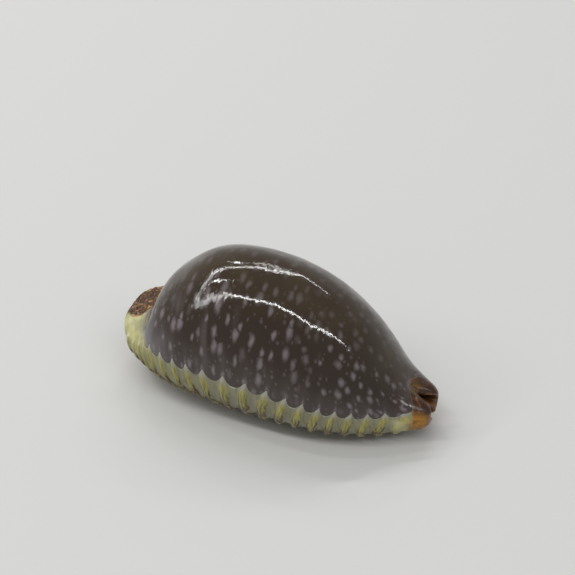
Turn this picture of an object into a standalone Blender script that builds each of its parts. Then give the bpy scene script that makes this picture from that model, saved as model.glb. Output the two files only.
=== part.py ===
"""Cowrie shell: one grown piece of hollow shell with a toothed slit along its flat base.

The shell lies along X with its front (siphon) end at +X and its spire end at -X.  The outer
lip is on the -Y side and the slit is underneath.  Units are metres and +Z is up.  The origin
is on the resting plane, under the middle of the shell.

The wall is one sheet.  It is carried round each cross section from the outer lip, over the
back, to the inner lip, and along the shell from the spire end to the siphon end.  The sheet
has two sides, which close on each other with a round nose along both lips and both end rims.
"""

import bpy
import numpy as np

# ---------------------------------------------------------------- driving dimensions
MM = 0.001
LENGTH = 25.2 * MM
WIDTH = 13.4 * MM

# Cross sections, equally spaced in the lengthways parameter, spire end first, in millimetres:
# x at the base, x at the crest, y of the middle, half width, and the heights of the crest,
# the widest line and the base.
SECTIONS = (
    (-12.05, -12.95, -0.45, 2.3, 4.75, 3.45, 1.75),
    (-11.1, -12.1, -0.35, 3.6, 4.80, 3.40, 0.95),
    (-9.7, -10.8, -0.20, 4.7, 5.20, 3.45, 0.42),
    (-8.05, -9.95, -0.10, 5.5, 7.25, 3.60, 0.15),
    (-6.3, -8.45, -0.03, 6.1, 9.10, 3.85, 0.05),
    (-4.05, -6.4, 0.00, 6.5, 10.70, 4.10, 0.03),
    (-1.7, -3.3, 0.00, 6.7, 11.50, 4.20, 0.00),
    (1.1, 0.65, 0.00, 6.65, 11.20, 4.00, 0.00),
    (4.35, 4.25, 0.00, 6.1, 9.75, 3.35, 0.01),
    (7.65, 7.1, 0.00, 4.8, 7.60, 2.70, 0.06),
    (9.8, 8.95, 0.00, 3.5, 5.40, 2.30, 0.20),
    (11.2, 10.6, 0.00, 2.65, 4.05, 2.15, 0.50),
    (12.35, 12.3, 0.00, 1.9, 3.65, 2.15, 1.00),
)

# Slit: sideways place of its middle and its width at five places along the shell, spire end
# first.  It bends towards the inner lip at the spire end.
SLIT_MIDDLE = (1.1, 0.2, -0.35, -0.35, 0.0)
SLIT_WIDTH = (1.4, 1.0, 1.05, 1.2, 1.1)

# Wall: over the back, extra at the lips, and what is left of it at the two end rims.
WALL_BACK = 0.95
WALL_LIP_EXTRA = 1.25
WALL_END = 0.95
WALL_END_SHARE = 0.14

# The dips in the crest of the rims, above the canals, and how much further the outer lip
# reaches than the inner lip at the siphon end.
NOTCH_SPIRE = 0.15
NOTCH_SIPHON = 1.5
NOTCH_HALF_ANGLE = 0.50
NOTCH_SHARE = 0.13
LIP_LEAD = 0.10

# Teeth: ridges that run from each lip across the base and up to the widest line.  From the
# siphon end they are evenly spaced for TOOTH_EVEN steps, and then each step shrinks by
# TOOTH_SHRINK towards the spire end.
TOOTH_COUNT = 20
TOOTH_EVEN = 14
TOOTH_PITCH = 1.22
TOOTH_SHRINK = 0.89
TOOTH_LAST_X = 10.4
TOOTH_HEIGHT = 0.26
TOOTH_AT_LIP = 0.22
TOOTH_TOP_ANGLE = 1.45
TOOTH_FADE_ANGLE = 0.30

# Lean of the ridges on the flank of the front half: how far their tops are shifted towards the
# siphon end, in teeth, the angle it starts from, the angle it grows over, and the teeth,
# counted from the spire end, between which it sets in.
TOOTH_LEAN = 0.6
LEAN_FROM_ANGLE = 2.0
LEAN_OVER_ANGLE = 0.6
LEAN_FIRST_TOOTH = 7.0
LEAN_FULL_TOOTH = 13.0

# The crests of the teeth are worn to one plane, this far up from the lowest point.
REST_CUT = 0.21

# Grid: rows along the shell and columns round it.
ROWS_PER_TOOTH = 4
RIM_SHARE = 0.045
RIM_ROWS = 3
NOSE_SHARE = 0.035
NOSE_COLUMNS = 3
SIDE_COLUMNS = 23

SHELL_COLOUR = (0.075, 0.060, 0.055, 1.0)
SHELL_ROUGHNESS = 0.15


# ---------------------------------------------------------------- curves
def natural_spline(values, at):
    """Smooth curve through equally spaced values: cubic pieces with no bend at the two ends."""
    values = np.asarray(values, dtype=float)
    count = len(values)
    system = np.eye(count)
    right = np.zeros_like(values)
    for i in range(1, count - 1):
        system[i, i - 1:i + 2] = (1.0, 4.0, 1.0)
        right[i] = 6.0 * (values[i - 1] - 2.0 * values[i] + values[i + 1])
    bend = np.linalg.solve(system, right)
    place = np.clip(at, 0.0, 1.0) * (count - 1)
    index = np.minimum(place.astype(int), count - 2)
    part = place - index
    rest = 1.0 - part
    if values.ndim > 1:
        part = part[..., None]
        rest = rest[..., None]
    straight = rest * values[index] + part * values[index + 1]
    curved = (rest ** 3 - rest) * bend[index] + (part ** 3 - part) * bend[index + 1]
    return straight + curved / 6.0


def smooth_step(low, high, x):
    """0 below low and 1 above high, with an easy curve between."""
    ramp = np.clip((x - low) / (high - low), 0.0, 1.0)
    return ramp * ramp * (3.0 - 2.0 * ramp)


def round_nose(distance, reach):
    """Quarter circle: 0 at the border of the sheet and 1 from reach inwards."""
    return np.sqrt(1.0 - (1.0 - np.clip(distance / reach, 0.0, 1.0)) ** 2)


# ---------------------------------------------------------------- grid lines
def row_places():
    """Lengthways parameters of the rows: close at the rims, four to a tooth between them.

    Two rows lie on each crest and two in each furrow, so crests and furrows are both flat.
    """
    fine = np.linspace(0.0, 1.0, 2001)
    base_x = natural_spline(SECTIONS, fine)[:, 0]
    turns = np.arange(TOOTH_COUNT * ROWS_PER_TOOTH) / ROWS_PER_TOOTH - 0.375
    tooth_rows = np.interp(turns, tooth_turns(base_x), fine)
    rim = RIM_SHARE * (1.0 - np.cos(np.linspace(0.0, np.pi / 2.0, RIM_ROWS + 1)))
    lead = np.linspace(RIM_SHARE, tooth_rows[0], 4)[1:-1]
    return np.concatenate([rim, lead, tooth_rows, 1.0 - rim[::-1]])


def column_places():
    """Parameters round the section: close at the two lips and even between them."""
    nose = NOSE_SHARE * (1.0 - np.cos(np.linspace(0.0, np.pi / 2.0, NOSE_COLUMNS + 1)))
    even = np.linspace(NOSE_SHARE, 1.0 - NOSE_SHARE, SIDE_COLUMNS + 1)[1:-1]
    return np.concatenate([nose, even, 1.0 - nose[::-1]])


# ---------------------------------------------------------------- shell sheet
def tooth_turns(base_x):
    """Number of teeth counted from the spire end, whole on each crest, by place along the base."""
    steps = np.arange(TOOTH_COUNT + 1)
    pitch = TOOTH_PITCH * TOOTH_SHRINK ** np.maximum(steps - TOOTH_EVEN, 0)
    crests = TOOTH_LAST_X + pitch[0] - np.cumsum(pitch)
    beyond = np.maximum(base_x - crests[0], 0.0) / TOOTH_PITCH
    return np.interp(base_x, crests[::-1], steps - 1.0) + beyond


def leaning(turns, angle):
    """Number of teeth on the flank, shifted with the height above the base."""
    risen = np.clip((LEAN_FROM_ANGLE - np.abs(angle)) / LEAN_OVER_ANGLE, 0.0, 1.0)
    return turns - TOOTH_LEAN * risen * smooth_step(LEAN_FIRST_TOOTH, LEAN_FULL_TOOTH, turns)


def tooth_wave(turns):
    """1 on the crest of each tooth and 0 in each furrow, fading out past the first and last."""
    inside = smooth_step(-0.9, 0.0, turns) * smooth_step(-0.6, 0.3, TOOTH_COUNT - 1 - turns)
    return (0.5 + 0.5 * np.cos(2.0 * np.pi * turns)) * inside


def section_angles(u, t, centre, half_width, wave):
    """Angle round the section from the crest, -pi to pi, leaving the toothed slit open."""
    middle = natural_spline(SLIT_MIDDLE, u) - centre
    half_gap = natural_spline(SLIT_WIDTH, u) / 2.0 - TOOTH_AT_LIP * wave
    start = np.arcsin((half_gap - middle) / half_width)
    stop = np.arcsin((half_gap + middle) / half_width)
    return -np.pi + start + t * (2.0 * np.pi - start - stop)


def outer_face(u, angle):
    """Outside of the shell, and the unit vectors from it to the core of each section.

    Each section is a flat-based oval.  Height is a parabola in the cosine of the angle,
    through the crest, widest and base heights, and the sideways place follows the sine.  x
    goes from its base value to its crest value with the height, less the dips of the end
    notches and the lead of the outer lip.
    """
    laws = np.moveaxis(natural_spline(SECTIONS, u), -1, 0)
    base_x, crest_x, centre, half_width, crest, widest, base = laws
    up = np.cos(angle)
    rise = crest - widest
    drop = widest - base
    lean = (1.0 + up) / 2.0
    dip = np.exp(-(angle / NOTCH_HALF_ANGLE) ** 2)
    spire_dip = NOTCH_SPIRE * (1.0 - smooth_step(0.0, NOTCH_SHARE, u)) * dip
    siphon_dip = NOTCH_SIPHON * smooth_step(1.0 - NOTCH_SHARE, 1.0, u) * dip
    lead = LIP_LEAD * smooth_step(1.0 - NOTCH_SHARE, 1.0, u) * np.sin(angle)
    x = base_x + (crest_x - base_x) * lean + spire_dip - siphon_dip - lead
    side = half_width * np.sin(angle)
    y = centre + side
    z = widest + 0.5 * (rise + drop) * up + 0.5 * (rise - drop) * up * up
    core_y = centre + 0.6 * side * np.clip(-up, 0.0, 1.0)
    core_z = widest + 0.25 * (rise - drop)
    inward = np.stack([0.0 * x, core_y - y, core_z - z], axis=-1)
    inward /= np.linalg.norm(inward, axis=-1, keepdims=True)
    return np.stack([x, y, z], axis=-1), inward


def wall_thickness(u, angle):
    """Thin over the back, thick at the lips, and thinner again towards both end rims."""
    full = WALL_BACK + WALL_LIP_EXTRA * ((1.0 - np.cos(angle)) / 2.0) ** 2
    body = smooth_step(0.0, WALL_END_SHARE, u) * smooth_step(0.0, WALL_END_SHARE, 1.0 - u)
    return WALL_END + (full - WALL_END) * body


def shell_sides(rows, columns):
    """Outer and inner points of the wall, in millimetres, one row of points for each section."""
    u, t = np.meshgrid(rows, columns, indexing="ij")
    base_x, _, centre, half_width, _, _, _ = np.moveaxis(natural_spline(SECTIONS, u), -1, 0)
    turns = tooth_turns(base_x)
    angle = section_angles(u, t, centre, half_width, tooth_wave(turns))
    outside, inward = outer_face(u, angle)
    half_wall = wall_thickness(u, angle) / 2.0
    nose = round_nose(np.minimum(t, 1.0 - t), NOSE_SHARE)
    rim = round_nose(np.minimum(u, 1.0 - u), RIM_SHARE)
    closing = nose * rim
    below = smooth_step(TOOTH_TOP_ANGLE, TOOTH_TOP_ANGLE + TOOTH_FADE_ANGLE, np.abs(angle))
    ridge = TOOTH_HEIGHT * tooth_wave(leaning(turns, angle)) * below
    middle = outside + inward * half_wall[..., None]
    outer = middle - inward * ((half_wall + ridge) * closing)[..., None]
    inner = middle + inward * (half_wall * closing)[..., None]
    return outer, inner


def place_on_plane(outer, inner):
    """Wear the lowest crests to one plane, and set the shell on it with the origin below."""
    plane = outer[..., 2].min() + REST_CUT
    outer[..., 2] = np.maximum(outer[..., 2], plane)
    low = outer.reshape(-1, 3).min(axis=0)
    high = outer.reshape(-1, 3).max(axis=0)
    size = high - low
    shift = np.array([(low[0] + high[0]) / 2.0, (low[1] + high[1]) / 2.0, plane])
    scale = np.array([LENGTH / size[0], WIDTH / size[1], MM])
    return (outer - shift) * scale, (inner - shift) * scale


# ---------------------------------------------------------------- mesh
def sheet_faces(index, flipped):
    """Four-sided faces between neighbouring grid points."""
    a = index[:-1, :-1]
    b = index[1:, :-1]
    c = index[1:, 1:]
    d = index[:-1, 1:]
    corners = (a, b, c, d) if flipped else (a, d, c, b)
    return np.stack(corners, axis=-1).reshape(-1, 4)


def shell_mesh(name):
    """Closed mesh: the two sides share the points along the lips and the rims."""
    outer, inner = place_on_plane(*shell_sides(row_places(), column_places()))
    rows, columns = outer.shape[:2]
    outer_index = np.arange(rows * columns).reshape(rows, columns)
    inner_index = outer_index.copy()
    inside = np.arange((rows - 2) * (columns - 2)).reshape(rows - 2, columns - 2)
    inner_index[1:-1, 1:-1] = rows * columns + inside
    points = np.concatenate([outer.reshape(-1, 3), inner[1:-1, 1:-1].reshape(-1, 3)])
    faces = np.concatenate([sheet_faces(outer_index, True), sheet_faces(inner_index, False)])
    mesh = bpy.data.meshes.new(name)
    mesh.from_pydata(points.tolist(), [], faces.tolist())
    mesh.validate()
    mesh.shade_smooth()
    return mesh


def shell_material():
    """Glossy dark enamel."""
    material = bpy.data.materials.new("shell_enamel")
    material.use_nodes = True
    shader = material.node_tree.nodes["Principled BSDF"]
    shader.inputs["Base Color"].default_value = SHELL_COLOUR
    shader.inputs["Roughness"].default_value = SHELL_ROUGHNESS
    shader.inputs["Metallic"].default_value = 0.0
    return material


def clear_scene():
    for item in list(bpy.data.objects):
        bpy.data.objects.remove(item, do_unlink=True)


def main():
    clear_scene()
    collection = bpy.data.collections.new("cowrie_shell")
    bpy.context.scene.collection.children.link(collection)
    mesh = shell_mesh("cowrie_shell")
    mesh.materials.append(shell_material())
    shell = bpy.data.objects.new("cowrie_shell", mesh)
    collection.objects.link(shell)


main()
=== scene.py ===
"""Cowrie shell: a glossy dark back with pale spots, rough brown ends and a pale ribbed base.

The shell lies along X with its front (siphon) end at +X and its spire end at -X.  The outer
lip is on the -Y side and the toothed slit is underneath.  The wall is one closed sheet with
two sides.  Its points are worked out in millimetres from two parameters: u runs along the
shell from the spire end to the siphon end, and t runs round the section from the outer lip,
over the back, to the inner lip.
"""

import math

import bpy
import numpy as np
from mathutils import Matrix, Vector


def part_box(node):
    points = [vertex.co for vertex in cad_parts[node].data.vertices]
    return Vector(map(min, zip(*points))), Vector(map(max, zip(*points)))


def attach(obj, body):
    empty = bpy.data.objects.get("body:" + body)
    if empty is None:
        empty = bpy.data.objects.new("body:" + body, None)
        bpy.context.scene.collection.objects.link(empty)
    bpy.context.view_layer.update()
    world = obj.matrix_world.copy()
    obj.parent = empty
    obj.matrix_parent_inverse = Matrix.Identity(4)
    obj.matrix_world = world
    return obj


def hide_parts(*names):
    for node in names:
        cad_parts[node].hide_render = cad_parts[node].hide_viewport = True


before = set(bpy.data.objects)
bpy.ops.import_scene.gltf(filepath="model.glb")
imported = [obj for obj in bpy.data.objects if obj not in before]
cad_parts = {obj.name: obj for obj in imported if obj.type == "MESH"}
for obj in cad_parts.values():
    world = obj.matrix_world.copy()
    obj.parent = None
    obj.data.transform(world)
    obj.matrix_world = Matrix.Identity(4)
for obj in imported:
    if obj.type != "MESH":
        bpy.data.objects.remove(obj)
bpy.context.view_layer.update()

bl_info = {
    "name": "Cowrie shell",
    "version": (1, 0, 0),
    "blender": (4, 5, 0),
    "location": "View3D > Sidebar > Cowrie",
    "description": "Builds a small glossy cowrie shell and a plain stage for it",
    "category": "Add Mesh",
}

MM = 0.001
NODE = "cowrie_shell"

# ---------------------------------------------------------------- form of the shell
# Cross sections, equally spaced in u, in millimetres: x at the base, x at the crest, y of the
# middle, half width, and the heights of the crest, the widest line and the base.
SECTIONS = (
    (-12.05, -12.95, -0.45, 2.3, 4.75, 3.45, 1.75),
    (-11.1, -12.1, -0.35, 3.6, 4.80, 3.40, 0.95),
    (-9.7, -10.8, -0.20, 4.7, 5.20, 3.45, 0.42),
    (-8.05, -9.95, -0.10, 5.5, 7.25, 3.60, 0.15),
    (-6.3, -8.45, -0.03, 6.1, 9.10, 3.85, 0.05),
    (-4.05, -6.4, 0.00, 6.5, 10.70, 4.10, 0.03),
    (-1.7, -3.3, 0.00, 6.7, 11.50, 4.20, 0.00),
    (1.1, 0.65, 0.00, 6.65, 11.20, 4.00, 0.00),
    (4.35, 4.25, 0.00, 6.1, 9.75, 3.35, 0.01),
    (7.65, 7.1, 0.00, 4.8, 7.60, 2.70, 0.06),
    (9.8, 8.95, 0.00, 3.5, 5.40, 2.30, 0.20),
    (11.2, 10.6, 0.00, 2.65, 4.05, 2.15, 0.50),
    (12.35, 12.3, 0.00, 1.9, 3.65, 2.15, 1.00),
)

# Slit: sideways place of its middle and its width at five places along the shell.
SLIT_MIDDLE = (1.1, 0.2, -0.35, -0.35, 0.0)
SLIT_WIDTH = (1.4, 1.0, 1.05, 1.2, 1.1)

# The dips in the crest of the rims, above the canals, and how much further the outer lip
# reaches than the inner lip at the siphon end.
NOTCH_SPIRE = 0.15
NOTCH_SIPHON = 1.5
NOTCH_HALF_ANGLE = 0.50
NOTCH_SHARE = 0.13
LIP_LEAD = 0.10

# Teeth: even steps from the siphon end, then shrinking ones towards the spire end.
TOOTH_COUNT = 20
TOOTH_EVEN = 14
TOOTH_PITCH = 1.22
TOOTH_SHRINK = 0.89
TOOTH_LAST_X = 10.4
TOOTH_AT_LIP = 0.22
REST_CUT = 0.21

# Lean of the ribs on the flank: how far their tops are shifted towards the siphon end, in
# teeth, the angle it starts from, the angle it grows over, and the ribs, counted from the
# spire end, between which it sets in.
RIB_LEAN = 0.6
LEAN_FROM = 2.0
LEAN_OVER = 0.6
LEAN_FIRST_RIB = 7.0
LEAN_FULL_RIB = 13.0

# The dark enamel of the back: middle and half lengths of its outline in u, half its angle
# round the section, how blunt the outline is, the way from its middle to its side in
# millimetres, and where the siphon end cuts it off at the crest, with the slant per radian,
# the angle that it slants to, and the millimetres in one unit of u.
ENAMEL_MIDDLE = 0.56
ENAMEL_TO_SPIRE = 0.43
ENAMEL_TO_SIPHON = 0.44
ENAMEL_ANGLE = math.radians(87.0)
ENAMEL_POWER = 3.0
ENAMEL_REACH = 9.5
ENAMEL_FRONT = 0.92
FRONT_SLANT = 0.015
SLANT_TO_ANGLE = 1.2
MM_PER_U = 24.0

# The rough patch on the spire end: its middle and half sizes in the angle and in u, and how
# fast its middle turns away from the outer lip past a place in u.
PATCH_ANGLE = 0.09
PATCH_HALF_ANGLE = 0.70
PATCH_MIDDLE = 0.085
PATCH_HALF_LENGTH = 0.125
PATCH_TURN = 2.0
PATCH_TURN_FROM = 0.06

# Brown lines along each rib: place and half width in teeth, and strength.
RIB_LINES = ((0.21, 0.080, 1.0), (-0.19, 0.065, 0.9), (0.03, 0.045, 0.6))

# Grid: rows along the shell and columns round it.
ROWS_PER_TOOTH = 14
RIM_SHARE = 0.045
RIM_ROWS = 9
LEAD_ROWS = 8
NOSE_SHARE = 0.035
NOSE_COLUMNS = 5
SIDE_COLUMNS = 138
FLANK_FROM_CREST = 0.27
FLANK_SPREAD = 0.09
FLANK_CROWDING = 1.1

# The unrolled wall: the column whose length it takes, in t, and millimetres per radian round
# the section at a half width.
UNROLLED_AT = 0.33
UNROLLED_AROUND = 6.3
UNROLLED_HALF_WIDTH = 6.7


# ---------------------------------------------------------------- settings
def length_setting(name, description, millimetres):
    """A length, shown in the scene's units."""
    return bpy.props.FloatProperty(
        name=name, description=description, default=millimetres * MM, min=0.0, unit="LENGTH", precision=5
    )


def colour_setting(name, description, colour):
    """A linear colour without alpha."""
    return bpy.props.FloatVectorProperty(
        name=name, description=description, default=colour, size=3, min=0.0, max=1.0, subtype="COLOR"
    )


def angle_setting(name, description, degrees):
    """An angle, kept in radians and shown in degrees."""
    return bpy.props.FloatProperty(
        name=name, description=description, default=math.radians(degrees), subtype="ANGLE"
    )


class ShellShape(bpy.types.PropertyGroup):
    """Sizes of the wall and of its relief."""

    wall_back: length_setting("Wall over the back", "Thickness of the wall at the crest", 0.95)
    wall_lip: length_setting("Extra at the lips", "How much thicker the rolled lips are", 1.25)
    wall_end: length_setting("Wall at the ends", "Thickness of the two end rims", 0.95)
    rib_height: length_setting("Rib height", "Height of the ribs across the base", 0.26)
    enamel_step: length_setting("Enamel step", "Thickness of the dark enamel at its edge", 0.09)
    lobe_depth: length_setting("Lobe depth", "How far the enamel's edge draws back at each rib", 0.80)
    ripple: length_setting("Ripple", "Height of the slow waves in the enamel", 0.012)
    grain: length_setting("Grain", "Height of the rough patch on the spire end", 0.09)


class ShellColours(bpy.types.PropertyGroup):
    """Colours of the shell."""

    back: colour_setting("Back", "Dark enamel of the back", (0.025, 0.0145, 0.0085))
    back_olive: colour_setting("Back, olive", "Clouds near the crest", (0.041, 0.029, 0.0145))
    spot: colour_setting("Spots", "Pale lavender spots and streaks", (0.160, 0.134, 0.138))
    veil: colour_setting("Veil", "Milky grey where the enamel thins", (0.150, 0.146, 0.150))
    base: colour_setting("Base", "Pale ground between the ribs", (0.235, 0.225, 0.140))
    notch: colour_setting("Notches", "Pale points where the enamel draws back", (0.330, 0.320, 0.290))
    # Painted highlight: the thin pale glint line below the enamel's edge.
    painted_glint_line: colour_setting("Rim line", "Thin pale line below the enamel's edge", (0.520, 0.510, 0.440))
    rib: colour_setting("Ribs", "Yellow-green crests of the ribs", (0.330, 0.300, 0.090))
    rib_line: colour_setting("Rib lines", "Brown lines beside the ribs", (0.060, 0.030, 0.008))
    lobe: colour_setting("End lobe", "Smooth pale lobe at the spire end", (0.430, 0.410, 0.190))
    patch: colour_setting("Patch", "Rough brown patch on the spire end", (0.062, 0.023, 0.004))
    patch_light: colour_setting("Patch grains", "Orange grains in the patch", (0.340, 0.170, 0.040))
    amber: colour_setting("Amber", "Lips of the siphon end", (0.350, 0.155, 0.012))
    # Partly the canal's own dark red-brown and partly painted shade of its hollow.
    pit_and_shade: colour_setting("Pit", "Dark red-brown of the siphon canal", (0.034, 0.011, 0.003))
    canal: colour_setting("Canal", "Lighter folds in the siphon canal", (0.170, 0.070, 0.025))
    inside: colour_setting("Inside", "Inner side of the wall", (0.150, 0.100, 0.095))


class StageLook(bpy.types.PropertyGroup):
    """Floor, lamps and camera."""

    floor_size: bpy.props.FloatProperty(
        name="Floor size", description="Side of the square floor", default=2.4, unit="LENGTH"
    )
    floor_colour: colour_setting("Floor", "Plain pale floor", (0.520, 0.518, 0.505))
    lamp_height: bpy.props.FloatProperty(
        name="Lamp height", description="Height of the strip lamps", default=0.45, unit="LENGTH"
    )
    lamp_power: bpy.props.FloatProperty(
        name="Lamp brightness", description="Brightness of the strip lamps", default=40.0, min=0.0
    )
    wall_light: bpy.props.FloatProperty(
        name="Wall light", description="Brightness of the room near the floor", default=0.60, min=0.0
    )
    ceiling_light: bpy.props.FloatProperty(
        name="Ceiling light", description="Brightness of the room overhead", default=0.34, min=0.0
    )
    azimuth: angle_setting("Azimuth", "Turn of the camera from straight in front", 19.7)
    elevation: angle_setting("Elevation", "Height angle of the camera", 37.5)
    roll: angle_setting("Roll", "Turn of the camera about its view line", 3.05)
    view_angle: angle_setting("View angle", "Width of the camera's view", 20.97)
    distance: length_setting("Distance", "From the camera to the point that it looks at", 132.7)


# Where the camera looks, on the floor, in millimetres.
AIM = (-4.14, 11.99, 0.0)

# Strip lamps: the two ends on the ceiling, the width and a relative brightness.  Places and
# widths are in lamp heights, sideways (X) and away from the camera (Y), with the shell below
# the origin.
LAMPS = (
    ((-0.95, -0.66), (-0.55, -0.46), 0.012, 2.2),
    ((-0.55, -0.46), (-0.10, -0.40), 0.020, 1.6),
    ((-0.10, -0.40), (0.60, -0.38), 0.020, 1.5),
    ((0.60, -0.38), (1.25, -0.28), 0.020, 1.3),
    ((-1.53, -1.07), (-0.95, -0.66), 0.010, 3.0),
    ((-1.53, -1.07), (-1.30, -0.55), 0.014, 3.0),
    ((-1.30, -0.55), (-1.12, -0.05), 0.012, 3.0),
    ((-1.12, -0.05), (-1.08, 0.28), 0.012, 3.0),
    ((-1.08, 0.28), (-0.60, 0.42), 0.016, 2.4),
    ((-0.84, -0.10), (-0.62, -0.04), 0.030, 2.0),
    ((-0.60, 0.42), (-0.20, 0.68), 0.022, 1.6),
    ((-0.20, 0.68), (0.04, 1.17), 0.022, 1.5),
    ((0.04, 1.17), (0.50, 1.04), 0.020, 1.2),
    ((-0.42, 0.80), (-0.16, 1.06), 0.014, 1.6),
    ((-0.73, 0.82), (-0.66, 0.82), 0.070, 2.0),
)


# ---------------------------------------------------------------- curves
def natural_spline(values, at):
    """Smooth curve through equally spaced values: cubic pieces with no bend at the two ends."""
    values = np.asarray(values, dtype=float)
    count = len(values)
    system = np.eye(count)
    right = np.zeros_like(values)
    for i in range(1, count - 1):
        system[i, i - 1:i + 2] = (1.0, 4.0, 1.0)
        right[i] = 6.0 * (values[i - 1] - 2.0 * values[i] + values[i + 1])
    bend = np.linalg.solve(system, right)
    place = np.clip(at, 0.0, 1.0) * (count - 1)
    index = np.minimum(place.astype(int), count - 2)
    part = place - index
    rest = 1.0 - part
    if values.ndim > 1:
        part = part[..., None]
        rest = rest[..., None]
    straight = rest * values[index] + part * values[index + 1]
    curved = (rest ** 3 - rest) * bend[index] + (part ** 3 - part) * bend[index + 1]
    return straight + curved / 6.0


def smooth_step(low, high, x):
    """0 below low and 1 above high, with an easy curve between."""
    ramp = np.clip((x - low) / (high - low), 0.0, 1.0)
    return ramp * ramp * (3.0 - 2.0 * ramp)


def round_nose(distance, reach):
    """Quarter circle: 0 at the border of the sheet and 1 from reach inwards."""
    return np.sqrt(1.0 - (1.0 - np.clip(distance / reach, 0.0, 1.0)) ** 2)


def waves(points, length, seed):
    """Smooth uneven field between about -1 and 1: the mean of eight sine waves in space.

    Each wave has its own direction, a length within a third of the given one, and a phase.
    """
    draw = np.random.default_rng(seed)
    total = 0.0
    for _ in range(8):
        direction = draw.normal(size=3)
        direction /= np.linalg.norm(direction)
        own_length = length * draw.uniform(0.67, 1.33)
        total = total + np.sin(points @ direction * (2.0 * np.pi / own_length) + draw.uniform(0.0, 6.3))
    return total / 3.0


# ---------------------------------------------------------------- grid lines
def row_places():
    """Values of u for the rows: close at the rims, and equal parts of each tooth between."""
    fine = np.linspace(0.0, 1.0, 4001)
    base_x = natural_spline(SECTIONS, fine)[:, 0]
    turns = (np.arange(TOOTH_COUNT * ROWS_PER_TOOTH) + 0.5) / ROWS_PER_TOOTH - 0.5
    tooth_rows = np.interp(turns, tooth_turns(base_x), fine)
    rim = RIM_SHARE * (1.0 - np.cos(np.linspace(0.0, np.pi / 2.0, RIM_ROWS + 1)))
    lead = np.linspace(RIM_SHARE, tooth_rows[0], LEAD_ROWS)[1:-1]
    return np.concatenate([rim, lead, tooth_rows, 1.0 - rim[::-1]])


def column_places():
    """Values of t for the columns: close at the lips, and closer on the flanks than elsewhere."""
    nose = NOSE_SHARE * (1.0 - np.cos(np.linspace(0.0, np.pi / 2.0, NOSE_COLUMNS + 1)))
    fine = np.linspace(NOSE_SHARE, 1.0 - NOSE_SHARE, 2001)
    flank = np.exp(-((np.abs(fine - 0.5) - FLANK_FROM_CREST) / FLANK_SPREAD) ** 2)
    crowd = np.cumsum(1.0 + FLANK_CROWDING * flank)
    crowd = (crowd - crowd[0]) / (crowd[-1] - crowd[0])
    even = np.interp(np.linspace(0.0, 1.0, SIDE_COLUMNS + 1)[1:-1], crowd, fine)
    return np.concatenate([nose, even, 1.0 - nose[::-1]])


# ---------------------------------------------------------------- shell sheet
def tooth_turns(base_x):
    """Number of teeth counted from the spire end, whole on each crest, by place along the base."""
    steps = np.arange(TOOTH_COUNT + 1)
    pitch = TOOTH_PITCH * TOOTH_SHRINK ** np.maximum(steps - TOOTH_EVEN, 0)
    crests = TOOTH_LAST_X + pitch[0] - np.cumsum(pitch)
    beyond = np.maximum(base_x - crests[0], 0.0) / TOOTH_PITCH
    before = np.maximum(crests[-1] - base_x, 0.0) / pitch[-1]
    return np.interp(base_x, crests[::-1], steps - 1.0) + beyond - before


def tooth_wave(turns):
    """1 on the crest of each tooth and 0 in each furrow, fading out past the first and last."""
    inside = smooth_step(-0.9, 0.0, turns) * smooth_step(-0.6, 0.3, TOOTH_COUNT - 1 - turns)
    return (0.5 + 0.5 * np.cos(2.0 * np.pi * turns)) * inside


def leaning(turns, angle):
    """Tooth count on the flank, where the ribs of the front half lean towards the siphon end."""
    risen = np.clip((LEAN_FROM - np.abs(angle)) / LEAN_OVER, 0.0, 1.0)
    return turns - RIB_LEAN * risen * smooth_step(LEAN_FIRST_RIB, LEAN_FULL_RIB, turns)


def section_angles(u, t, centre, half_width, wave):
    """Angle round the section from the crest, -pi to pi, leaving the toothed slit open."""
    middle = natural_spline(SLIT_MIDDLE, u) - centre
    half_gap = natural_spline(SLIT_WIDTH, u) / 2.0 - TOOTH_AT_LIP * wave
    start = np.arcsin((half_gap - middle) / half_width)
    stop = np.arcsin((half_gap + middle) / half_width)
    return -np.pi + start + t * (2.0 * np.pi - start - stop)


def outer_face(u, angle):
    """Outside of the shell: each section is a flat-based oval that leans with its crest.

    Height is a parabola in the cosine of the angle, through the crest, widest and base
    heights.  The sideways place is the half width times the sine.  x goes from its base value
    to its crest value with the height, less the dips of the two end notches and the lead of
    the outer lip, which follows the sine.
    """
    laws = np.moveaxis(natural_spline(SECTIONS, u), -1, 0)
    base_x, crest_x, centre, half_width, crest, widest, base = laws
    up = np.cos(angle)
    rise = crest - widest
    drop = widest - base
    lean = (1.0 + up) / 2.0
    dip = np.exp(-(angle / NOTCH_HALF_ANGLE) ** 2)
    spire_dip = NOTCH_SPIRE * (1.0 - smooth_step(0.0, NOTCH_SHARE, u)) * dip
    siphon_dip = NOTCH_SIPHON * smooth_step(1.0 - NOTCH_SHARE, 1.0, u) * dip
    lead = LIP_LEAD * smooth_step(1.0 - NOTCH_SHARE, 1.0, u) * np.sin(angle)
    x = base_x + (crest_x - base_x) * lean + spire_dip - siphon_dip - lead
    side = half_width * np.sin(angle)
    y = centre + side
    z = widest + 0.5 * (rise + drop) * up + 0.5 * (rise - drop) * up * up
    core_y = centre + 0.6 * side * np.clip(-up, 0.0, 1.0)
    core_z = widest + 0.25 * (rise - drop)
    inward = np.stack([0.0 * x, core_y - y, core_z - z], axis=-1)
    inward /= np.linalg.norm(inward, axis=-1, keepdims=True)
    return np.stack([x, y, z], axis=-1), inward


def wall_thickness(u, angle, shape):
    """Thin over the back, thick at the lips, and thinner again towards both end rims."""
    full = shape.wall_back / MM + shape.wall_lip / MM * ((1.0 - np.cos(angle)) / 2.0) ** 2
    body = smooth_step(0.0, 0.14, u) * smooth_step(0.0, 0.14, 1.0 - u)
    end = shape.wall_end / MM
    return end + (full - end) * body


def enamel_front(angle):
    """Place in u where the siphon end cuts off the dark enamel."""
    return ENAMEL_FRONT + FRONT_SLANT * np.minimum(np.abs(angle), SLANT_TO_ANGLE)


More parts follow.
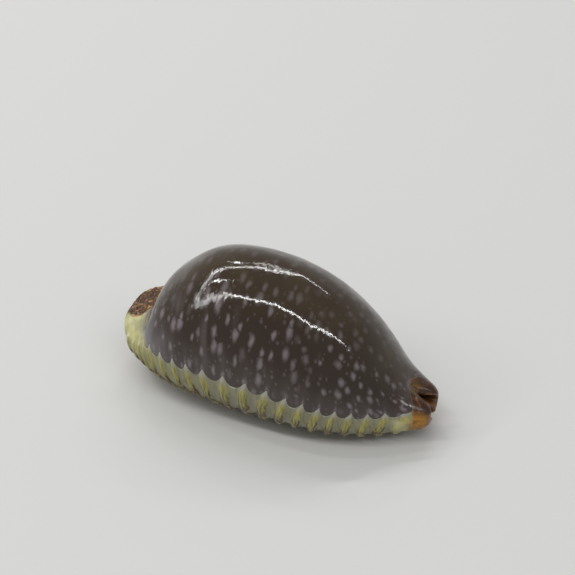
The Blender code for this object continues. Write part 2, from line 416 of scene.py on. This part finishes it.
def enamel_edge(u, angle, turns, shape):
    """Distance inwards from the edge of the dark enamel, in millimetres, below 0 outside it.

    The outline is a rounded oblong in u and the angle, cut off at the siphon end.  At each
    rib the edge draws back in a point, which leaves a round lobe over each furrow.
    """
    across = np.abs(angle) / ENAMEL_ANGLE
    half_length = np.where(u < ENAMEL_MIDDLE, ENAMEL_TO_SPIRE, ENAMEL_TO_SIPHON)
    lengthways = np.abs(u - ENAMEL_MIDDLE) / half_length
    outwards = (across ** ENAMEL_POWER + lengthways ** ENAMEL_POWER) ** (1.0 / ENAMEL_POWER)
    front = MM_PER_U * (enamel_front(angle) - u)
    on_flank = smooth_step(0.8, 1.25, np.abs(angle))
    notch = (1.0 - np.abs(np.sin(np.pi * turns))) ** 1.3
    lobes = shape.lobe_depth / MM * notch * on_flank
    return np.minimum(ENAMEL_REACH * (1.0 - outwards) - lobes, front)


def end_marks(u, angle):
    """How far inside the rough spire patch and the siphon canal a point is, 0 on their edges."""
    across = (angle - PATCH_ANGLE - PATCH_TURN * (u - PATCH_TURN_FROM)) / PATCH_HALF_ANGLE
    lengthways = (u - PATCH_MIDDLE) / PATCH_HALF_LENGTH
    spire = 1.0 - across ** 2 - lengthways ** 2
    siphon = (u - enamel_front(angle)) / (1.0 - ENAMEL_FRONT)
    return spire, siphon


def shell_sheet(shape):
    """Both sides of the wall in millimetres, and the fields that the enamel's finish follows.

    The outer side stands half a wall out from the middle of the wall and the inner side half
    a wall in.  Both closings, at the lips and at the rims, are quarter circles, so the sides
    meet there.  Ribs, enamel step, ripple and grain are added to the outer side only.
    """
    u, t = np.meshgrid(row_places(), column_places(), indexing="ij")
    laws = np.moveaxis(natural_spline(SECTIONS, u), -1, 0)
    base_x, centre, half_width = laws[0], laws[2], laws[3]
    turns = tooth_turns(base_x)
    wave = tooth_wave(turns)
    angle = section_angles(u, t, centre, half_width, wave)
    outside, inward = outer_face(u, angle)
    turns = leaning(turns, angle)
    edge = enamel_edge(u, angle, turns, shape)
    spire, siphon = end_marks(u, angle)

    below_enamel = smooth_step(0.15, -0.45, edge) * smooth_step(1.05, 1.35, np.abs(angle))
    rib = tooth_wave(turns) ** 1.8 * below_enamel
    on_enamel = smooth_step(-0.06, 0.10, edge)
    on_patch = smooth_step(-0.1, 0.3, spire)
    relief = shape.rib_height / MM * rib
    relief = relief + shape.enamel_step / MM * on_enamel
    relief = relief + shape.ripple / MM * waves(outside, 2.2, 3) * on_enamel
    relief = relief + shape.grain / MM * waves(outside, 0.55, 7) * on_patch

    half_wall = wall_thickness(u, angle, shape) / 2.0
    closing = round_nose(np.minimum(t, 1.0 - t), NOSE_SHARE)
    closing = closing * round_nose(np.minimum(u, 1.0 - u), RIM_SHARE)
    middle = outside + inward * half_wall[..., None]
    outer = middle - inward * ((half_wall + relief) * closing)[..., None]
    inner = middle + inward * (half_wall * closing)[..., None]

    along = np.cumsum(np.linalg.norm(np.diff(outside, axis=0, prepend=outside[:1]), axis=-1), axis=0)
    flank_column = np.argmin(np.abs(column_places() - UNROLLED_AT))
    fields = {
        "enamel_edge": edge,
        "rib_turns": turns,
        "rib": rib,
        "spire_patch": spire,
        "siphon_canal": siphon,
        "angle": angle,
    }
    around = angle * UNROLLED_AROUND * (0.5 + 0.5 * half_width / UNROLLED_HALF_WIDTH)
    flat = np.stack([along[:, flank_column][:, None] + 0.0 * t, around], axis=-1)
    return outer, inner, fields, flat


def place_in_box(outer, inner):
    """Wear the lowest ribs to one plane, and fit the shell to the length and width it has."""
    low_corner, high_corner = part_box(NODE)
    plane = outer[..., 2].min() + REST_CUT
    outer[..., 2] = np.maximum(outer[..., 2], plane)
    low = outer.reshape(-1, 3).min(axis=0)
    high = outer.reshape(-1, 3).max(axis=0)
    wanted = np.array(high_corner - low_corner)
    middle = np.array(high_corner + low_corner) / 2.0
    scale = np.array([wanted[0] / (high[0] - low[0]), wanted[1] / (high[1] - low[1]), MM])
    shift = np.array([(low[0] + high[0]) / 2.0, (low[1] + high[1]) / 2.0, plane])
    target = np.array([middle[0], middle[1], low_corner[2]])
    return (outer - shift) * scale + target, (inner - shift) * scale + target


# ---------------------------------------------------------------- mesh
def sheet_faces(index, flipped):
    """Four-sided faces between neighbouring grid points."""
    a = index[:-1, :-1]
    b = index[1:, :-1]
    c = index[1:, 1:]
    d = index[:-1, 1:]
    corners = (a, b, c, d) if flipped else (a, d, c, b)
    return np.stack(corners, axis=-1).reshape(-1, 4)


def both_sides(grid):
    """A grid of values for all points: the outer side, then the inside of the inner side."""
    width = grid.shape[2:]
    return np.concatenate([grid.reshape(-1, *width), grid[1:-1, 1:-1].reshape(-1, *width)])


def shell_mesh(name, shape):
    """Closed mesh: the two sides share the points along the lips and the rims."""
    outer, inner, fields, flat = shell_sheet(shape)
    outer, inner = place_in_box(outer, inner)
    rows, columns = outer.shape[:2]
    outer_index = np.arange(rows * columns).reshape(rows, columns)
    inner_index = outer_index.copy()
    inside = np.arange((rows - 2) * (columns - 2)).reshape(rows - 2, columns - 2)
    inner_index[1:-1, 1:-1] = rows * columns + inside
    points = np.concatenate([outer.reshape(-1, 3), inner[1:-1, 1:-1].reshape(-1, 3)])
    faces = np.concatenate([sheet_faces(outer_index, True), sheet_faces(inner_index, False)])

    mesh = bpy.data.meshes.new(name)
    mesh.from_pydata(points.tolist(), [], faces.tolist())
    for field, values in fields.items():
        layer = mesh.attributes.new(field, "FLOAT", "POINT")
        layer.data.foreach_set("value", both_sides(values).astype(np.float32))
    inner_flag = np.zeros(len(points), np.float32)
    inner_flag[rows * columns:] = 1.0
    mesh.attributes.new("inner_wall", "FLOAT", "POINT").data.foreach_set("value", inner_flag)
    corner_points = np.zeros(len(mesh.loops), np.int32)
    mesh.loops.foreach_get("vertex_index", corner_points)
    flat_layer = mesh.uv_layers.new(name="ShellMap")
    flat_layer.uv.foreach_set("vector", both_sides(flat)[corner_points].astype(np.float32).ravel())
    mesh.shade_smooth()
    mesh.validate()
    return mesh


# ---------------------------------------------------------------- finish
class Finish:
    """A material whose node tree is filled from left to right by short calls."""

    def __init__(self, name):
        self.material = bpy.data.materials.new(name)
        self.material.use_nodes = True
        self.tree = self.material.node_tree
        self.shader = self.tree.nodes["Principled BSDF"]

    def feed(self, socket, value):
        """Link an output to a socket, or set the socket's own value."""
        if isinstance(value, bpy.types.NodeSocket):
            self.tree.links.new(value, socket)
        elif socket.type == "RGBA" and len(value) == 3:
            socket.default_value = (*value, 1.0)
        else:
            socket.default_value = value

    def maths(self, operation, *values):
        """One arithmetic step."""
        node = self.tree.nodes.new("ShaderNodeMath")
        node.operation = operation
        for socket, value in zip(node.inputs, values):
            self.feed(socket, value)
        return node.outputs["Value"]

    def times(self, *values):
        """The product of two or more values."""
        product = values[0]
        for value in values[1:]:
            product = self.maths("MULTIPLY", product, value)
        return product

    def swayed(self, value, noise, amount):
        """A value moved up and down by a noise about one half."""
        return self.maths("ADD", value, self.times(self.maths("SUBTRACT", noise, 0.5), amount))

    def vector(self, operation, *values):
        """One arithmetic step on vectors."""
        node = self.tree.nodes.new("ShaderNodeVectorMath")
        node.operation = operation
        for socket, value in zip(node.inputs, values):
            self.feed(socket, value)
        return node.outputs["Value"] if operation == "LENGTH" else node.outputs["Vector"]

    def ramp(self, value, low, high):
        """0 at low and 1 at high with an easy curve between; low may be above high."""
        node = self.tree.nodes.new("ShaderNodeMapRange")
        node.interpolation_type = "SMOOTHSTEP"
        self.feed(node.inputs["Value"], value)
        node.inputs["From Min"].default_value = low
        node.inputs["From Max"].default_value = high
        return node.outputs["Result"]

    def band(self, value, middle, half_width):
        """1 at the middle, falling to 0 at half the width either way."""
        away = self.maths("ABSOLUTE", self.maths("SUBTRACT", value, middle))
        return self.ramp(away, half_width, 0.0)

    def mix(self, share, first, second):
        """Colour between two colours."""
        node = self.tree.nodes.new("ShaderNodeMix")
        node.data_type = "RGBA"
        self.feed(node.inputs[0], share)
        self.feed(node.inputs[6], first)
        self.feed(node.inputs[7], second)
        return node.outputs[2]

    def field(self, name):
        """A value kept on the mesh."""
        node = self.tree.nodes.new("ShaderNodeAttribute")
        node.attribute_name = name
        return node.outputs["Fac"]

    def flat_place(self):
        """Place on the unrolled wall, in millimetres along and round the shell."""
        node = self.tree.nodes.new("ShaderNodeUVMap")
        node.uv_map = "ShellMap"
        return node.outputs["UV"]

    def from_spire(self, flat):
        """Millimetres from the spire end along the unrolled wall."""
        node = self.tree.nodes.new("ShaderNodeSeparateXYZ")
        self.feed(node.inputs[0], flat)
        return node.outputs["X"]

    def solid_place(self):
        """Place in space, in millimetres."""
        node = self.tree.nodes.new("ShaderNodeTexCoord")
        return self.vector("DIVIDE", node.outputs["Object"], (MM, MM, MM))

    def noise(self, place, scale, detail=2.0):
        """Uneven value about one half."""
        node = self.tree.nodes.new("ShaderNodeTexNoise")
        self.feed(node.inputs["Vector"], place)
        node.inputs["Scale"].default_value = scale
        node.inputs["Detail"].default_value = detail
        return node.outputs["Fac"]

    def stretched(self, place, along, around):
        """A place scaled differently along and round the shell."""
        return self.vector("MULTIPLY", place, (along, around, 1.0))

    def shaken(self, place, scale, amount):
        """A place moved a little to and fro, which makes outlines uneven."""
        node = self.tree.nodes.new("ShaderNodeTexNoise")
        self.feed(node.inputs["Vector"], place)
        node.inputs["Scale"].default_value = scale
        moved = self.vector("SUBTRACT", node.outputs["Color"], (0.5, 0.5, 0.5))
        return self.vector("ADD", place, self.vector("MULTIPLY", moved, (2.0 * amount,) * 3))

    def spots(self, place, cell, half_size, share):
        """Soft uneven spots, about one in each cell of a loose grid, in a share of the cells.

        The nearest cell point is found first.  The spot is the offset from that point, divided
        by the half size along and round the shell and by the spot's own size, and faded from
        its middle to its border.
        """
        cells = self.tree.nodes.new("ShaderNodeTexVoronoi")
        cells.voronoi_dimensions = "2D"
        cells.inputs["Scale"].default_value = 1.0
        cells.inputs["Randomness"].default_value = 0.80
        grid = self.stretched(place, 1.0 / cell[0], 1.0 / cell[1])
        self.feed(cells.inputs["Vector"], grid)
        offset = self.vector("SUBTRACT", grid, cells.outputs["Position"])
        oval = self.vector("MULTIPLY", offset, (cell[0] / half_size[0], cell[1] / half_size[1], 0.0))
        chance = self.tree.nodes.new("ShaderNodeSeparateColor")
        self.feed(chance.inputs["Color"], cells.outputs["Color"])
        own_size = self.maths("ADD", 0.60, self.times(chance.outputs["Green"], 0.65))
        outwards = self.maths("DIVIDE", self.vector("LENGTH", oval), own_size)
        spot = self.ramp(outwards, 1.42, 0.10)
        kept = self.ramp(chance.outputs["Red"], 1.0 - share, 1.30 - share)
        return self.times(spot, kept)

    def bump(self, height, depth, under=None):
        """A normal tilted by a height from 0 to 1 times a depth in metres."""
        node = self.tree.nodes.new("ShaderNodeBump")
        node.inputs["Distance"].default_value = depth
        self.feed(node.inputs["Height"], height)
        if under is not None:
            self.feed(node.inputs["Normal"], under)
        return node.outputs["Normal"]


def darker(colour, share):
    """A colour with less light in it."""
    return tuple(part * share for part in colour)


def back_colour(finish, colours):
    """Dark enamel with clouds, a milky veil towards its edge, pale spots and rising streaks."""
    edge = finish.field("enamel_edge")
    turns = finish.field("rib_turns")
    turned = finish.maths("ABSOLUTE", finish.field("angle"))
    flat = finish.flat_place()
    from_spire = finish.from_spire(flat)

    cloud = finish.ramp(finish.noise(flat, 0.35), 0.40, 0.70)
    cloudy = finish.maths("ADD", 0.5, finish.times(cloud, 0.5))
    olive = finish.times(finish.ramp(turned, 1.0, 0.1), cloudy)
    colour = finish.mix(olive, tuple(colours.back), tuple(colours.back_olive))

    uneven = finish.noise(finish.stretched(flat, 1.0, 0.45), 0.9)
    ragged_edge = finish.swayed(edge, uneven, 1.6)
    to_spire = finish.ramp(from_spire, 9.5, 3.5)
    spire_veil = finish.times(finish.ramp(ragged_edge, 4.0, -0.2), to_spire)
    thin_veil = finish.times(finish.ramp(ragged_edge, 3.0, -0.3), 0.26)
    veil = finish.maths("MAXIMUM", spire_veil, thin_veil)
    veil_tone = finish.mix(to_spire, darker(colours.spot, 0.8), tuple(colours.veil))
    colour = finish.mix(veil, colour, veil_tone)

    uneven_place = finish.shaken(flat, 1.7, 0.17)
    long_spots = finish.spots(uneven_place, (0.95, 1.30), (0.23, 0.46), 0.95)
    round_spots = finish.spots(uneven_place, (0.98, 1.02), (0.25, 0.29), 0.95)
    specks = finish.spots(uneven_place, (0.52, 0.62), (0.10, 0.13), 0.60)
    to_siphon = finish.ramp(from_spire, 16.0, 20.0)
    spots = finish.maths(
        "ADD",
        finish.times(long_spots, finish.maths("SUBTRACT", 1.0, to_siphon)),
        finish.times(round_spots, to_siphon),
    )
    wisps = finish.ramp(finish.noise(finish.stretched(flat, 1.0, 0.22), 0.85, 1.0), 0.56, 0.80)
    wisps = finish.times(wisps, finish.ramp(from_spire, 15.0, 7.0))
    marks = finish.maths("MAXIMUM", spots, finish.times(wisps, 0.5))
    marks = finish.maths("MAXIMUM", marks, finish.times(specks, 0.4))
    strength = finish.maths("ADD", 0.25, finish.times(finish.ramp(turned, 0.15, 0.75), 0.70))

    phase = finish.maths("PINGPONG", turns, 0.5)
    streak = finish.times(finish.ramp(phase, 0.16, 0.0), finish.ramp(edge, 0.65, 0.0))
    streak = finish.times(streak, finish.ramp(turned, 0.9, 1.3), 0.8)
    pale = finish.maths("MAXIMUM", finish.times(marks, strength), streak)
    return finish.mix(pale, colour, tuple(colours.spot))


def base_colour(finish, colours):
    """Pale ground with yellow-green ribs, brown lines beside them, brown outer ends and a painted glint
    under the enamel's edge.
    """
    turns = finish.field("rib_turns")
    turned = finish.maths("ABSOLUTE", finish.field("angle"))
    edge = finish.field("enamel_edge")
    flat = finish.flat_place()

    fibres = finish.noise(finish.stretched(flat, 3.2, 0.45), 1.4, 3.0)
    shade = finish.ramp(fibres, 0.35, 0.70)
    ground = finish.mix(shade, tuple(colours.base), darker(colours.base, 0.70))
    greener = finish.times(finish.ramp(turns, 7.0, 1.0), 0.6)
    ground = finish.mix(greener, ground, tuple(colours.lobe))
    own_turns = finish.swayed(turns, finish.noise(flat, 0.8), 0.40)
    away = finish.maths("PINGPONG", own_turns, 0.5)

    notch = finish.times(finish.ramp(away, 0.26, 0.05), finish.ramp(edge, -1.0, -0.2), 0.7)
    ground = finish.mix(notch, ground, tuple(colours.notch))
    seen = finish.maths("MAXIMUM", finish.ramp(turns, 2.0, 4.0), finish.ramp(turned, 1.50, 1.70))
    ribbed = finish.times(finish.ramp(away, 0.34, 0.14), finish.ramp(edge, -0.20, -0.80), seen)
    strands = finish.ramp(fibres, 0.30, 0.62)
    rib = finish.mix(strands, darker(colours.rib, 0.50), tuple(colours.rib))
    colour = finish.mix(ribbed, ground, rib)

    patchy = finish.ramp(finish.noise(finish.stretched(flat, 0.9, 0.5), 1.3), 0.35, 0.55)
    lower = finish.ramp(turned, 1.52, 1.80)
    for side, half_width, share in RIB_LINES:
        from_line = finish.maths("PINGPONG", finish.maths("SUBTRACT", own_turns, side), 0.5)
        line = finish.times(finish.ramp(from_line, half_width, 0.015), lower, patchy, share, seen)
        colour = finish.mix(line, colour, tuple(colours.rib_line))

    tips = finish.times(finish.ramp(away, 0.36, 0.24), finish.band(turned, 1.93, 0.20))
    tips = finish.times(tips, finish.ramp(patchy, 0.1, 0.6), 0.8)
    colour = finish.mix(tips, colour, tuple(colours.rib_line))
    under = finish.times(ribbed, finish.ramp(turned, 1.95, 2.5), 0.55)
    colour = finish.mix(under, colour, tuple(colours.amber))
    # Painted highlight: a patchy pale glint just below the edge of each enamel lobe.
    glint = finish.times(finish.band(edge, -0.12, 0.12), finish.ramp(away, 0.22, 0.42))
    glint = finish.times(glint, finish.ramp(finish.noise(flat, 1.1), 0.42, 0.60))
    return finish.mix(glint, colour, tuple(colours.painted_glint_line))


def spire_colour(finish, colours, colour):
    """The spire end's smooth pale lobe, the thin enamel beside it and the rough patch."""
    edge = finish.field("enamel_edge")
    turned = finish.maths("ABSOLUTE", finish.field("angle"))
    from_spire = finish.from_spire(finish.flat_place())
    solid = finish.solid_place()

    lobe = finish.times(finish.ramp(from_spire, 4.4, 2.6), finish.ramp(turned, 2.0, 1.5))
    lobe = finish.times(lobe, finish.ramp(edge, 0.1, -0.8), 0.9)
    cloudy = finish.ramp(finish.noise(solid, 0.9, 3.0), 0.35, 0.65)
    lobe_tone = finish.mix(cloudy, darker(colours.lobe, 0.68), tuple(colours.lobe))
    colour = finish.mix(lobe, colour, lobe_tone)
    see_through = finish.times(finish.ramp(edge, 1.1, 0.0), finish.ramp(turned, 1.45, 1.10))
    see_through = finish.times(see_through, finish.ramp(from_spire, 5.0, 3.6), 0.75)
    colour = finish.mix(see_through, colour, lobe_tone)

    grains = finish.noise(solid, 2.6, 4.0)
    grains = finish.maths("ADD", grains, finish.times(finish.ramp(turned, 0.25, 0.75), 0.08))
    ragged = finish.swayed(finish.field("spire_patch"), grains, 0.9)
    light = finish.ramp(grains, 0.52, 0.68)
    patch = finish.mix(light, tuple(colours.patch), tuple(colours.patch_light))
    return finish.mix(finish.ramp(ragged, -0.05, 0.20), colour, patch)


def siphon_colour(finish, colours, colour):
    """The siphon end's amber lips, its dark red-brown canal with painted shade of its hollow, and the
    cream beside them.
    """
    siphon = finish.field("siphon_canal")
    turned = finish.maths("ABSOLUTE", finish.field("angle"))
    folds = finish.noise(finish.stretched(finish.flat_place(), 1.6, 0.7), 1.5, 3.0)
    uneven_turn = finish.swayed(turned, folds, 0.5)

    shade = finish.ramp(folds, 0.40, 0.65)
    amber = finish.mix(shade, tuple(colours.amber), darker(colours.amber, 0.5))
    amber = finish.mix(finish.ramp(siphon, 0.35, 0.95), amber, tuple(colours.canal))
    pit_and_shade = finish.mix(finish.ramp(folds, 0.52, 0.78), tuple(colours.pit_and_shade), tuple(colours.canal))
    shade = finish.ramp(folds, 0.35, 0.65)
    top = finish.mix(shade, tuple(colours.back_olive), darker(colours.amber, 0.4))
    # Dark band across the middle of the siphon end: the canal's colour with painted shade of its hollow
    # between the lips.
    lip = finish.mix(finish.ramp(uneven_turn, 1.30, 0.90), amber, pit_and_shade)
    lip = finish.mix(finish.ramp(uneven_turn, 0.45, 0.20), lip, top)

    near_end = finish.swayed(siphon, folds, 0.35)
    below = finish.ramp(turned, 1.35, 1.50)
    cream = finish.times(finish.band(near_end, -0.55, 0.75), below, 0.8)
    colour = finish.mix(cream, colour, tuple(colours.lobe))
    low = finish.times(finish.ramp(near_end, -0.45, 0.15), below)
    here = finish.maths("MAXIMUM", finish.ramp(siphon, -0.10, 0.10), low)
    return finish.mix(here, colour, lip)


def inner_colour(finish, colours):
    """Plain lilac-brown inside, turning dark red-brown in the siphon canal: the canal's colour with
    painted shade.
    """
    folds = finish.noise(finish.stretched(finish.flat_place(), 0.5, 2.2), 1.5, 3.0)
    canal = finish.mix(finish.ramp(folds, 0.38, 0.62), tuple(colours.pit_and_shade), tuple(colours.canal))
    in_canal = finish.ramp(finish.field("siphon_canal"), -1.5, -0.5)
    return finish.mix(in_canal, tuple(colours.inside), canal)


def shell_finish(colours):
    """Glossy enamel on the back, satin base, rough patch, and a plain inner side."""
    finish = Finish("shell_enamel")
    edge = finish.field("enamel_edge")
    spire = finish.field("spire_patch")
    flat = finish.flat_place()
    solid = finish.solid_place()
    on_back = finish.ramp(edge, -0.05, 0.05)
    # Painted shadow: a thin dark line along the enamel's edge, where its step would cast shade.
    painted_step_shadow = finish.times(finish.band(edge, 0.03, 0.09), 0.65)

    colour = finish.mix(on_back, base_colour(finish, colours), back_colour(finish, colours))
    colour = finish.mix(painted_step_shadow, colour, darker(colours.back, 0.6))
    colour = spire_colour(finish, colours, colour)
    colour = siphon_colour(finish, colours, colour)
    colour = finish.mix(finish.field("inner_wall"), colour, inner_colour(finish, colours))
    finish.feed(finish.shader.inputs["Base Color"], colour)

    on_patch = finish.ramp(spire, 0.0, 0.2)
    satin = finish.times(finish.maths("SUBTRACT", 1.0, on_back), 0.18)
    dull = finish.maths("MAXIMUM", satin, finish.times(on_patch, 0.12))
    rough = finish.maths("ADD", 0.07, dull)
    finish.feed(finish.shader.inputs["Roughness"], rough)
    finish.shader.inputs["IOR"].default_value = 1.46

    streaked = finish.noise(finish.stretched(flat, 2.6, 0.8), 1.6, 3.0)
    normal = finish.bump(streaked, 0.000016)
    grains = finish.times(finish.noise(solid, 4.0, 4.0), on_patch)
    normal = finish.bump(grains, 0.00012, normal)
    finish.feed(finish.shader.inputs["Normal"], normal)
    return finish.material


# ---------------------------------------------------------------- pieces
def link(item):
    bpy.context.scene.collection.objects.link(item)
    return item


def build_shell(scene):
    """The whole shell: one closed wall that stands for the frame's only node."""
    mesh = shell_mesh("shell_wall", scene.cowrie_shape)
    mesh.materials.append(shell_finish(scene.cowrie_colours))
    shell = link(bpy.data.objects.new("shell_wall", mesh))
    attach(shell, "root")
    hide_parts(NODE)
    return shell


def build_floor(look):
    """A plain pale square, level with the plane that the shell rests on."""
    half = look.floor_size / 2.0
    corners = [(-half, -half, 0.0), (half, -half, 0.0), (half, half, 0.0), (-half, half, 0.0)]
    mesh = bpy.data.meshes.new("floor")
    mesh.from_pydata(corners, [], [(0, 1, 2, 3)])
    finish = Finish("floor_pale")
    finish.feed(finish.shader.inputs["Base Color"], tuple(look.floor_colour))
    finish.shader.inputs["Roughness"].default_value = 0.9
    finish.shader.inputs["Specular IOR Level"].default_value = 0.2
    mesh.materials.append(finish.material)
    floor = link(bpy.data.objects.new("floor", mesh))
    return floor


def build_lamps(look):
    """Thin straight lamps that face down from the ceiling, each between two places on it."""
    for number, (start, end, width, share) in enumerate(LAMPS, 1):
        start = Vector(start) * look.lamp_height
        end = Vector(end) * look.lamp_height
        run = end - start
        data = bpy.data.lights.new(f"strip_lamp_{number}", "AREA")
        data.shape = "RECTANGLE"
        data.size = run.length
        data.size_y = width * look.lamp_height
        data.energy = look.lamp_power * share * math.pi * data.size * data.size_y
        lamp = link(bpy.data.objects.new(data.name, data))
        lamp.location = (*((start + end) / 2.0), look.lamp_height)
        lamp.rotation_euler = (0.0, 0.0, math.atan2(run.y, run.x))


def build_room(look):
    """Soft light from all round, fading from the walls to the ceiling."""
    world = bpy.data.worlds.new("room")
    world.use_nodes = True
    tree = world.node_tree
    direction = tree.nodes.new("ShaderNodeTexCoord").outputs["Generated"]
    height = tree.nodes.new("ShaderNodeSeparateXYZ")
    fade = tree.nodes.new("ShaderNodeMapRange")
    fade.inputs["From Max"].default_value = 0.8
    fade.inputs["To Min"].default_value = look.wall_light
    fade.inputs["To Max"].default_value = look.ceiling_light
    background = tree.nodes["Background"]
    background.inputs["Color"].default_value = (0.97, 0.98, 1.0, 1.0)
    tree.links.new(direction, height.inputs[0])
    tree.links.new(height.outputs["Z"], fade.inputs["Value"])
    tree.links.new(fade.outputs["Result"], background.inputs["Strength"])
    bpy.context.scene.world = world


def build_camera(look):
    """Camera on a ball round its aim, turned by azimuth, elevation and roll."""
    across = math.cos(look.elevation)
    outwards = Vector((math.sin(look.azimuth), -math.cos(look.azimuth), 0.0))
    back = outwards * across + Vector((0.0, 0.0, math.sin(look.elevation)))
    side = Vector((math.cos(look.azimuth), math.sin(look.azimuth), 0.0))
    top = back.cross(side)
    right = side * math.cos(look.roll) + top * math.sin(look.roll)
    up = back.cross(right)
    data = bpy.data.cameras.new("camera")
    data.angle = look.view_angle
    data.clip_start = 0.01
    data.clip_end = 10.0
    data.dof.use_dof = False
    camera = link(bpy.data.objects.new("camera", data))
    turn = Matrix((right, up, back)).transposed().to_4x4()
    camera.matrix_world = Matrix.Translation(Vector(AIM) * MM + back * look.distance) @ turn
    bpy.context.scene.camera = camera


# ---------------------------------------------------------------- add-on
class COWRIE_OT_shell(bpy.types.Operator):
    """Build the shell with its ribs, enamel, spots and end canals"""

    bl_idname = "cowrie.build_shell"
    bl_label = "Build shell"

    def execute(self, context):
        build_shell(context.scene)
        return {"FINISHED"}


class COWRIE_OT_stage(bpy.types.Operator):
    """Build the plain floor, the lamps, the room light and the camera"""

    bl_idname = "cowrie.build_stage"
    bl_label = "Build stage"

    def execute(self, context):
        look = context.scene.cowrie_stage
        build_floor(look)
        build_lamps(look)
        build_room(look)
        build_camera(look)
        context.scene.view_settings.view_transform = "Standard"
        return {"FINISHED"}


class COWRIE_PT_panel(bpy.types.Panel):
    """Sidebar panel with the settings and the build buttons"""

    bl_idname = "COWRIE_PT_panel"
    bl_label = "Cowrie shell"
    bl_space_type = "VIEW_3D"
    bl_region_type = "UI"
    bl_category = "Cowrie"

    def draw(self, context):
        for operator in OPERATORS:
            self.layout.operator(operator.bl_idname)
        for name, kind in SETTINGS.items():
            box = self.layout.box()
            settings = getattr(context.scene, name)
            for field in kind.__annotations__:
                box.prop(settings, field)


OPERATORS = (COWRIE_OT_shell, COWRIE_OT_stage)
SETTINGS = {"cowrie_shape": ShellShape, "cowrie_colours": ShellColours, "cowrie_stage": StageLook}
CLASSES = (*SETTINGS.values(), *OPERATORS, COWRIE_PT_panel)


def register():
    for item in CLASSES:
        bpy.utils.register_class(item)
    for name, kind in SETTINGS.items():
        setattr(bpy.types.Scene, name, bpy.props.PointerProperty(type=kind))


def unregister():
    for name in SETTINGS:
        delattr(bpy.types.Scene, name)
    for item in reversed(CLASSES):
        bpy.utils.unregister_class(item)


def main():
    register()
    bpy.ops.cowrie.build_shell()
    bpy.ops.cowrie.build_stage()


if __name__ == "__main__":
    main()
